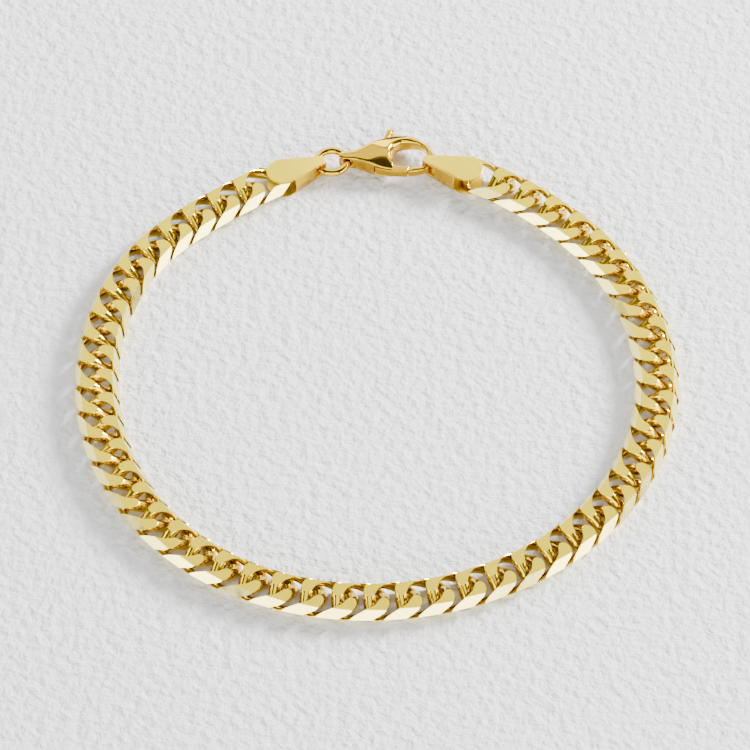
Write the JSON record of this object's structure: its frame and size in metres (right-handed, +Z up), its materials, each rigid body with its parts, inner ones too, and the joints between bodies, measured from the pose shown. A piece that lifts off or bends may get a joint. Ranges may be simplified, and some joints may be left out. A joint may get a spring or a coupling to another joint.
{
  "type": "cuban link bracelet",
  "caption": "Flat curb-link bracelet, a closed loop of interlocking ground links that ends in two shell caps, joined by a jump ring and a sprung lobster clasp.",
  "frame": {"origin": "on the surface that the bracelet lies on, under the middle of the whole closed loop", "axes": "+Z up off the surface, +Y towards the clasp, +X to the right as seen from the side away from the clasp"},
  "size_m": [0.0642, 0.067, 0.0024],
  "materials": {
    "chain_gold": "satin flats, polished bevels",
    "cap_gold": "satin",
    "ring_gold": "polished",
    "clasp_gold": "polished",
    "lever_gold": "polished"
  },
  "bodies": {
    "bracelet": {"chain": "chain_gold", "end_cap_left": "cap_gold", "end_cap_right": "cap_gold", "jump_ring": "ring_gold", "clasp_body": "clasp_gold", "clasp_pin": "clasp_gold"},
    "lever": {"clasp_lever": "lever_gold"}
  },
  "joints": [
    {"name": "lever_hinge", "type": "hinge", "parent": "bracelet", "child": "lever", "pos_m": [-0.00022, 0.0287, 0.00121], "axis": [0, 0, 1], "range_deg": [0, 22], "stiffness_Nm_per_rad": 0.004, "springref_deg": -20.05}
  ]
}
